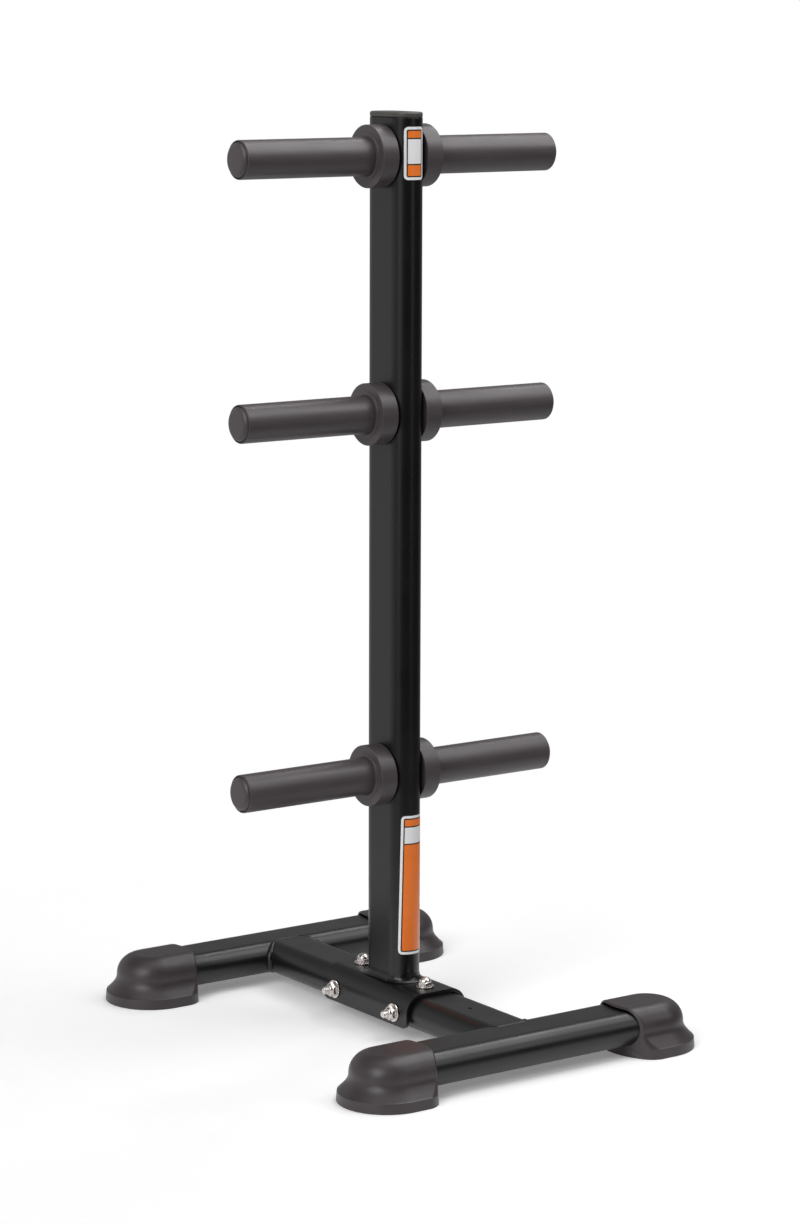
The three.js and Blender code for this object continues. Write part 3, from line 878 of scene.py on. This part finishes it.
def boot_corners(top, middle):
    """The boot's profile from the middle of its sole up to the middle of its top."""
    body = tube_wide / 2 + boot_wall
    foot = body + skirt_proud
    head = foot - skirt_draft
    sole = [((foot - skirt_corner) * step / flat_steps, 0) for step in range(flat_steps + 1)]
    return [
        *sole,
        *rounded(foot, 0, sole_edge, -1),
        *rounded(head, skirt_tall, ledge_edge, 1),
        *flare_points(body, middle),
        *shoulder_points(top, middle),
    ]


def rounded(across, up, radius, way):
    """The points of a small rounded corner below a wall (way -1) or above it (way 1)."""
    points = []
    for step in range(edge_steps + 1):
        angle = math.pi / 2 * step / edge_steps
        wide, tall = (math.sin(angle), math.cos(angle)) if way < 0 else (math.cos(angle), math.sin(angle))
        points.append((across - radius * (1 - wide), up - way * radius * (1 - tall)))
    return points


def flare_points(body, middle):
    """The hollow flare from the ledge up to the body's side."""
    foot = skirt_tall + ledge_tall
    wide = skirt_proud - skirt_draft - ledge_wide
    tall = middle - foot
    bends = [
        Vector((body + wide, foot)),
        Vector((body + wide * (1 - flare_slope_share), foot + tall * flare_foot_share)),
        Vector((body, middle - tall * flare_top_share)),
        Vector((body, middle)),
    ]
    points = []
    for step in range(flare_steps):
        share = step / flare_steps
        row = bends
        while len(row) > 1:
            row = [a.lerp(b, share) for a, b in zip(row, row[1:])]
        points.append(tuple(row[0]))
    return points


def shoulder_points(top, middle):
    """The round shoulder that follows the tube, and the flat top to its middle."""
    radius = top - middle
    points = []
    for step in range(bend_steps):
        angle = math.pi / 2 * step / bend_steps
        points.append((oval_straight + radius * math.cos(angle), middle + radius * math.sin(angle)))
    return points + [(oval_straight * (1 - step / flat_steps), top) for step in range(flat_steps + 1)]


def nose_reach(inner, across, height, top):
    """Where the boot's arched and leaning inner end lies, at a place across it and a height."""
    bulge = nose_radius - math.sqrt(nose_radius**2 - across**2)
    return inner + bulge + nose_lean * height / top


def rim_place(vert, step, inner, middle, top):
    """Where a vert of the boot's inner end goes, as the wall turns in to the end face."""
    across = abs(vert.co.y)
    height = vert.co.z
    body = tube_wide / 2 + boot_wall
    skirt_share = max(0, min(1, (across - body) / skirt_proud))
    corner = body_corner + (skirt_corner - body_corner) * skirt_share
    angle = math.pi / 2 * step / boot_corner_steps
    inwards = Vector((0, 0, 0))
    if height > middle:
        centre = Vector((0, min(across, oval_straight), middle))
        inwards = (centre - Vector((0, across, height))).normalized()
    elif height > merge_distance or across > body + skirt_proud - sole_edge - merge_distance:
        inwards = Vector((0, -1, 0))
    if inwards.length:
        across += inwards.y * corner * (1 - math.cos(angle))
        height += inwards.z * corner * (1 - math.cos(angle))
    else:
        corner = skirt_corner
    sign = 1 if vert.co.y >= 0 else -1
    set_back = corner * (1 - math.sin(angle))
    return Vector((nose_reach(inner, across, height, top) + set_back, sign * across, height))


def boot_socket(inner, end, middle, top):
    """The hole that the tube fills, whose mouth follows the boot's inner end and stands off the tube's
    top."""
    radius = oval_radius + seat_gap
    corners = [(radius, inner, 0), (radius, inner + mouth_depth + nose_lean, 0), (radius, end + seat_gap, 0)]
    socket = moved(carried_round_oval(outline(corners), flat_steps), ALONG_X, (0, 0, middle))
    for vert in socket.verts:
        if vert.co.x < inner + merge_distance:
            rise = max(0, vert.co.z - middle) / radius
            vert.co.z += mouth_lift * rise * rise
            vert.co.x = nose_reach(inner, abs(vert.co.y), vert.co.z, top)
    deep = [e for e in socket.edges if e.is_boundary and e.verts[0].co.x > end]
    bmesh.ops.contextual_create(socket, geom=deep)
    return socket


def boot(node, side):
    """A boot, made at the +X end and turned for the other."""
    low, high = box(node)
    tube_end = box("front_cross_tube")[1].x
    top = high.z
    middle = base_height()
    axis = tube_end - boot_axis_inset
    inner = low.x if side > 0 else -high.x
    shape = outline([(across, up, 0) for across, up in boot_corners(top, middle)])
    moved(shape, Matrix.Rotation(-math.pi / 2, 3, "Z"))
    whole = shape.verts[:] + shape.edges[:]
    bmesh.ops.spin(shape, geom=whole, cent=(0, 0, 0), axis=UP, angle=math.pi, steps=boot_end_steps)
    bmesh.ops.remove_doubles(shape, verts=shape.verts, dist=merge_distance)
    moved(shape, place=(axis, 0, 0))
    last = [edge for edge in shape.edges if edge.is_boundary]
    # Rings of verts drawn out in place, and then set where the wall turns in to the end face
    rings = []
    for _ in range(boot_corner_steps + 1):
        drawn = extruded(shape, last, (0, 0, 0))
        rings.append(verts_in(drawn))
        last = edges_in(drawn)
    for step, ring in enumerate(rings):
        for vert in ring:
            vert.co = rim_place(vert, step, inner, middle, top)
    added(shape, boot_socket(inner, tube_end, middle, top))
    mouth = [e for e in shape.edges if e.is_boundary]
    bmesh.ops.bridge_loops(shape, edges=mouth)
    made_whole(shape)
    if side < 0:
        moved(shape, Matrix.Rotation(math.pi, 3, "Z"))
    return moved(shape, place=(0, (low.y + high.y) / 2, 0))


def make_boots():
    """A boot on each end of the cross tubes."""
    for end in ENDS:
        for side, sign in SIDES:
            node = f"{end}_{side}_boot"
            finished(f"{node}_finished", boot(node, sign), "boot_rubber", node)


# Pegs, turned about Z from the post's centre outwards


def reach(node, sign):
    """The near and far ends of a peg's part, as distances from the post's centre."""
    low, high = box(node)
    return (low.x, high.x) if sign > 0 else (-high.x, -low.x)


def peg_radii(level):
    """The radii of a level's sleeve and of the bore that the horn tube runs in."""
    sleeve_low, sleeve_high = box(f"{level}_left_sleeve")
    horn_low, horn_high = box(f"{level}_horn_tube")
    return (sleeve_high.z - sleeve_low.z) / 2, (horn_high.z - horn_low.z) / 2 + seat_gap


def collar(level, side, sign):
    """A disc with a raised lip round the sleeve."""
    back, front = reach(f"{level}_{side}_collar", sign)
    sleeve_radius, bore = peg_radii(level)
    low, high = box(f"{level}_{side}_collar")
    radius = (high.z - low.z) / 2
    face = reach(f"{level}_{side}_sleeve", sign)[0] - seat_gap
    lip = sleeve_radius + seat_gap
    return turned(outline([
        (bore, back, 0),
        (radius, back, collar_edge),
        (radius, face, collar_edge),
        (lip + collar_lip_wide, face, collar_lip_foot_edge),
        (lip + collar_lip_wide, front, collar_lip_edge),
        (lip, front, collar_mouth_edge),
        (lip, face, 0),
        (bore, face, 0),
    ], is_closed=True))


def sleeve(level, side, sign):
    """The plain round tube that the plates hang on."""
    near, far = reach(f"{level}_{side}_sleeve", sign)
    horn_end = reach(f"{level}_horn_tube", sign)[1]
    radius, bore = peg_radii(level)
    return turned(outline([
        (bore, near, 0),
        (radius, near, 0),
        (radius, far, sleeve_edge),
        (radius - sleeve_lip, far, sleeve_lip_edge),
        (radius - sleeve_lip, horn_end, 0),
        (bore, horn_end, 0),
    ], is_closed=True))


def end_plug(level, side, sign):
    """A plug whose rim fills the sleeve's end, on a stem inside the horn tube. Its face is round at its edge
    and slightly crowned."""
    near, tip = reach(f"{level}_{side}_end_plug", sign)
    sleeve_radius, bore = peg_radii(level)
    rim = sleeve_radius - sleeve_lip - plug_groove
    stem = bore - seat_gap - tube_wall - seat_gap
    rim_foot = near + plug_stem
    corners = [
        (0, rim_foot, 0),
        (stem - plug_wall, rim_foot, 0),
        (stem - plug_wall, near, 0),
        (stem, near, hidden_edge),
        (stem, rim_foot, 0),
        (rim, rim_foot, 0),
        (rim, tip - plug_crown, plug_edge),
    ]
    flat = rim - plug_edge
    for step in range(1, edge_steps + 1):
        across = flat * (1 - step / edge_steps)
        corners.append((across, tip - plug_crown * (across / flat) ** 2, 0))
    return turned(outline(corners, steps=corner_steps))


def make_pegs():
    """A collar, a sleeve and an end plug on both sides of each level."""
    for level in LEVELS:
        low, high = box(f"{level}_horn_tube")
        middle = (0, 0, (low.z + high.z) / 2)
        for side, sign in SIDES:
            outwards = pointed((sign, 0, 0))
            for kind, build in (("collar", collar), ("sleeve", sleeve), ("end_plug", end_plug)):
                node = f"{level}_{side}_{kind}"
                shape = moved(build(level, side, sign), outwards, middle)
                finished(f"{node}_finished", shape, "peg_plastic", node)


# Fasteners, built along Z from the face that they bear on


def hex_block(across, foot, top, is_chamfered_below=False):
    """A hexagonal block with its corners turned off."""
    corner = across / 2 / math.cos(math.pi / hex_sides)
    block = rod(corner, foot, top, hex_sides)
    wide = corner + hex_chamfer_wide
    flat = across / 2 - hex_chamfer_inset
    below = foot - cut_overrun
    corners = [(0, below, 0), (wide, below, 0)]
    if is_chamfered_below:
        corners = [(0, foot, 0), (flat, foot, 0), (wide, foot + head_chamfer_tall, 0)]
    corners += [(wide, top - hex_chamfer_tall, 0), (flat, top, 0), (0, top, 0)]
    return combined(block, turned(outline(corners)), "INTERSECT")


def thread(foot, top):
    """A helical ridge round a bolt's end."""
    root = bolt_radius - thread_depth
    ridge = bmesh.new()
    half = (thread_pitch - thread_gap) / 2
    crest = thread_crest / 2
    points = [
        (root - thread_sink, -half),
        (bolt_radius, -crest),
        (bolt_radius, crest),
        (root - thread_sink, half),
    ]
    verts = [ridge.verts.new((across, 0, foot + thread_pitch / 2 + up)) for across, up in points]
    ridge.faces.new(verts)
    turns = (top - foot) / thread_pitch - 1
    steps = round(turns * thread_steps)
    whole = ridge.verts[:] + ridge.edges[:] + ridge.faces[:]
    bmesh.ops.spin(
        ridge, geom=whole, cent=(0, 0, 0), axis=UP, dvec=(0, 0, thread_pitch / thread_steps),
        angle=math.tau * steps / thread_steps, steps=steps)
    return made_whole(ridge)


def side_bolt(node):
    """A hex head under the bearing face, a shank, and a threaded end past the nut."""
    low, high = box(node)
    length = high.x - low.x - head_tall
    root = bolt_radius - thread_depth
    thread_foot = length - thread_long
    shank = turned(outline([
        (0, -head_tall / 2, 0),
        (bolt_radius, -head_tall / 2, 0),
        (bolt_radius, thread_foot, thread_start_edge),
        (root, thread_foot, 0),
        (root, length, bolt_tip_edge),
        (0, length, 0),
    ]))
    bolt = combined(hex_block(head_across, -head_tall, 0, True), shank, "UNION")
    added(bolt, thread(thread_foot, length - thread_end_inset))
    seat = (high.x - head_tall, (low.y + high.y) / 2, (low.z + high.z) / 2)
    return moved(bolt, pointed((-1, 0, 0)), seat)


def lock_nut(node):
    """A hexagon with a round crown that holds the locking ring."""
    low, high = box(node)
    top = nut_hex_tall + nut_crown_tall
    crown = turned(outline([
        (0, nut_hex_tall / 2, 0),
        (nut_crown_foot / 2, nut_hex_tall / 2, 0),
        (nut_crown_foot / 2, nut_hex_tall, 0),
        (nut_crown_top / 2, top, nut_crown_edge),
        (0, top, 0),
    ]))
    nut = combined(hex_block(head_across, 0, nut_hex_tall), crown, "UNION")
    nut = combined(nut, rod(bolt_hole / 2, -cut_overrun, top + cut_overrun), "DIFFERENCE")
    seat = (high.x, (low.y + high.y) / 2, (low.z + high.z) / 2)
    return moved(nut, pointed((-1, 0, 0)), seat)


def cap_nut(node):
    """A hexagon under a polished dome."""
    low, high = box(node)
    tall = high.z - low.z
    corners = [(0, cap_nut_hex_tall / 2, 0), (cap_nut_dome / 2, cap_nut_hex_tall / 2, 0)]
    for step in range(dome_steps + 1):
        angle = math.pi / 2 * step / dome_steps
        across = cap_nut_dome / 2 * math.cos(angle) if step < dome_steps else 0
        corners.append((across, cap_nut_hex_tall + (tall - cap_nut_hex_tall) * math.sin(angle), 0))
    dome = turned(outline(corners))
    nut = combined(hex_block(cap_nut_across, 0, cap_nut_hex_tall), dome, "UNION")
    nut = combined(nut, rod(bolt_hole / 2, -cut_overrun, cap_nut_hex_tall), "DIFFERENCE")
    middle = (low + high) / 2
    return moved(nut, place=(middle.x, middle.y, low.z))


def washer(node, axis):
    """A stamped washer with soft edges."""
    low, high = box(node)
    size = high - low
    thick = min(size)
    radius = size.y / 2
    ring = turned(outline([
        (bolt_hole / 2, -thick / 2, washer_bore_edge),
        (radius, -thick / 2, washer_edge),
        (radius, thick / 2, washer_edge),
        (bolt_hole / 2, thick / 2, washer_bore_edge),
    ], is_closed=True))
    return moved(ring, pointed(axis), (low + high) / 2)


def make_fasteners():
    """The bolts, nuts and washers of the saddle's front and back halves."""
    for end in ENDS:
        made = {
            f"{end}_side_bolt": side_bolt(f"{end}_side_bolt"),
            f"{end}_side_nut": lock_nut(f"{end}_side_nut"),
            f"{end}_left_washer": washer(f"{end}_left_washer", (-1, 0, 0)),
            f"{end}_right_washer": washer(f"{end}_right_washer", (1, 0, 0)),
            f"{end}_top_washer": washer(f"{end}_top_washer", (0, 0, 1)),
            f"{end}_top_cap_nut": cap_nut(f"{end}_top_cap_nut"),
        }
        for node, shape in made.items():
            finished(f"{node}_finished", shape, "bright_zinc", node)


# Solids that stay as the CAD made them, all hidden inside others


def dress_hidden_nodes():
    """The horn tubes and the studs, in their own finishes."""
    hidden = {f"{level}_horn_tube": "horn_steel" for level in LEVELS}
    hidden.update({f"{end}_top_stud": "bright_zinc" for end in ENDS})
    for node, slot in hidden.items():
        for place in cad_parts[node].material_slots:
            place.material = finishes[slot]


# Studio


def pale_floor():
    """Pale painted floor, matte, lit faintly from below and fading out at its rim."""
    material, tree = new_material("pale_studio_floor")
    place = add_node(tree, "ShaderNodeTexCoord").outputs["Object"]
    speckle = grain_noise(tree, place, grain=40, detail=4)
    colour = blended(tree, speckle.outputs["Fac"], "#f0f0f0", "#f4f4f4")
    matte = add_node(tree, "ShaderNodeBsdfDiffuse", links={"Color": colour}).outputs["BSDF"]
    values = {"Color": (1, 1, 1, 1), "Strength": floor_glow}
    glow = add_node(tree, "ShaderNodeEmission", values=values).outputs["Emission"]
    lit = add_node(tree, "ShaderNodeAddShader", links={0: matte, 1: glow}).outputs["Shader"]
    distance = add_node(tree, "ShaderNodeVectorMath", {"operation": "LENGTH"}, links={0: place})
    fade = ranged(tree, distance.outputs["Value"], 0, 1, floor_solid / METRE, floor_radius / METRE)
    clear = add_node(tree, "ShaderNodeBsdfTransparent").outputs["BSDF"]
    mix = add_node(tree, "ShaderNodeMixShader", links={0: fade, 1: lit, 2: clear})
    add_node(tree, "ShaderNodeOutputMaterial", links={"Surface": mix.outputs["Shader"]})
    return material


def make_floor():
    """The disc of floor under the stand."""
    disc = bmesh.new()
    bmesh.ops.create_circle(disc, cap_ends=True, segments=floor_sides, radius=floor_radius / METRE)
    mesh = bpy.data.meshes.new("studio_floor")
    disc.to_mesh(mesh)
    disc.free()
    mesh.materials.append(pale_floor())
    floor = bpy.data.objects.new("studio_floor", mesh)
    bpy.context.scene.collection.objects.link(floor)


def make_world():
    """A pale room: bright low down behind the stand, dim above and in front."""
    world = bpy.data.worlds.new("studio")
    bpy.context.scene.world = world
    world.use_nodes = True
    tree = world.node_tree
    tree.nodes.clear()
    direction = add_node(tree, "ShaderNodeTexCoord").outputs["Generated"]
    parts = add_node(tree, "ShaderNodeSeparateXYZ", links={"Vector": direction}).outputs
    behind = ranged(tree, parts["Y"], 0, 1, *glow_behind)
    low_down = ranged(tree, parts["Z"], 1, 0, *glow_low)
    leftwards = ranged(tree, parts["X"], 1, glow_right_share, *glow_left)
    glow = product(tree, product(tree, behind, low_down), leftwards)
    lit_floor = ranged(tree, parts["Z"], 1, 0, *glow_floor)
    brightest = add_node(tree, "ShaderNodeMath", {"operation": "MAXIMUM"}, links={0: glow, 1: lit_floor})
    light = ranged(tree, brightest.outputs["Value"], room_dim, room_bright, 0, 1)
    room = add_node(tree, "ShaderNodeBackground", values={"Color": (1, 1, 1, 1)}, links={"Strength": light})
    pale = add_node(tree, "ShaderNodeBackground", values={"Color": (1, 1, 1, 1), "Strength": backdrop_white})
    seen = add_node(tree, "ShaderNodeLightPath").outputs["Is Camera Ray"]
    links = {0: seen, 1: room.outputs["Background"], 2: pale.outputs["Background"]}
    mix = add_node(tree, "ShaderNodeMixShader", links=links)
    add_node(tree, "ShaderNodeOutputWorld", links={"Surface": mix.outputs["Shader"]})


def placed_light(name, kind, energy, direction):
    """A light that shines from a direction towards the stand, and its holder."""
    light = bpy.data.lights.new(f"{name}_softbox", kind)
    light.energy = energy
    holder = bpy.data.objects.new(f"{name}_softbox", light)
    holder.rotation_mode = "QUATERNION"
    holder.rotation_quaternion = Vector(direction).to_track_quat("Z", "Y")
    bpy.context.scene.collection.objects.link(holder)
    return light, holder


def make_softboxes():
    """The softboxes far off, and then the near ones."""
    for name, (direction, width, strength) in softboxes.items():
        light, _ = placed_light(name, "SUN", strength, direction)
        light.angle = math.radians(width)
    for name, (place, width, watts) in near_softboxes.items():
        light, holder = placed_light(name, "AREA", watts, Vector(place) - Vector(near_aim))
        light.shape = "DISK"
        light.size = width / METRE
        holder.location = Vector(place) / METRE
        holder.visible_camera = False


# The stand in its studio

make_post()
make_base_tubes()
finished("saddle_bracket_finished", saddle(), "frame_paint", "saddle_bracket")
make_boots()
make_pegs()
make_fasteners()
dress_hidden_nodes()
make_floor()
make_world()
make_softboxes()
bpy.context.scene.view_settings.view_transform = "Standard"
